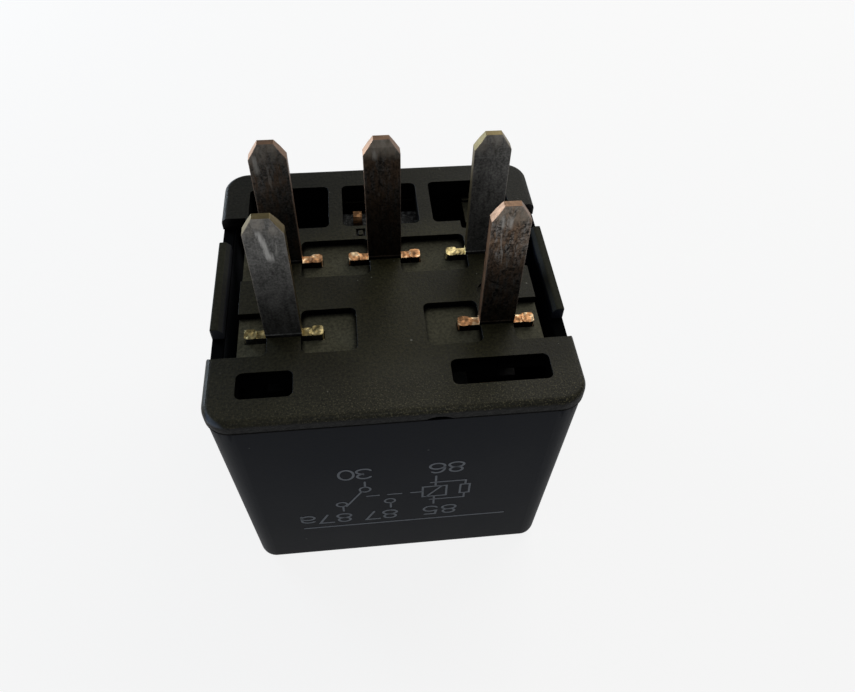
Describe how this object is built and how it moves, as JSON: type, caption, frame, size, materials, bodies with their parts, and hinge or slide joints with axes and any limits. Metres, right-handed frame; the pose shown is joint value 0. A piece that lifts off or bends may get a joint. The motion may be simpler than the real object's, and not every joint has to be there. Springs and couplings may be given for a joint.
{
  "type": "automotive relay",
  "caption": "Plug-in changeover relay: square dark plastic cover with a windowed base, flat blade terminals, and a coil, hinged armature and contacts inside.",
  "frame": {"origin": "centre of the flat closed end of the cover, which the part stands on", "axes": "+Z from the cover's closed end towards the blades, +X to the right and +Y to the back as seen from the front in the picture; the row of three blades is on the +Y side"},
  "size_m": [0.0284, 0.0284, 0.0368],
  "materials": {
    "cover_plastic": "satin moulded",
    "base_plastic": "fine-grained matt",
    "tinned_blade": "tarnished tin plate over copper alloy",
    "bobbin_plastic": "moulded",
    "copper_wire": "enamelled copper",
    "iron": "zinc-plated iron",
    "spring_alloy": "copper alloy strip",
    "contact_silver": "silver alloy",
    "rivet_steel": "plated",
    "resistor_body": "lacquered",
    "tinned_wire": "tinned"
  },
  "bodies": {
    "housing": {"cover": "cover_plastic", "base": "base_plastic", "terminal_30": "tinned_blade", "terminal_85": "tinned_blade", "terminal_86": "tinned_blade", "terminal_87": "tinned_blade", "terminal_87a": "tinned_blade", "bobbin": "bobbin_plastic", "winding": "copper_wire", "core": "iron", "yoke": "iron", "contact_no": "contact_silver", "contact_nc": "contact_silver", "yoke_rivet_upper": "rivet_steel", "yoke_rivet_lower": "rivet_steel", "resistor": "resistor_body", "resistor_lead_left": "tinned_wire", "resistor_lead_right": "tinned_wire", "coil_lead_left": "copper_wire", "coil_lead_right": "copper_wire"},
    "armature": {"armature": "iron", "hinge_spring": "spring_alloy", "moving_contact": "contact_silver", "armature_rivet_front": "rivet_steel", "armature_rivet_back": "rivet_steel"}
  },
  "joints": [
    {"name": "armature_hinge", "type": "hinge", "parent": "housing", "child": "armature", "pos_m": [0, -0.0106, 0.0075], "axis": [1, 0, 0], "range_deg": [0, 2.6], "stiffness_Nm_per_rad": 0.03, "springref_deg": -5.73, "deforming": ["hinge_spring"]}
  ]
}
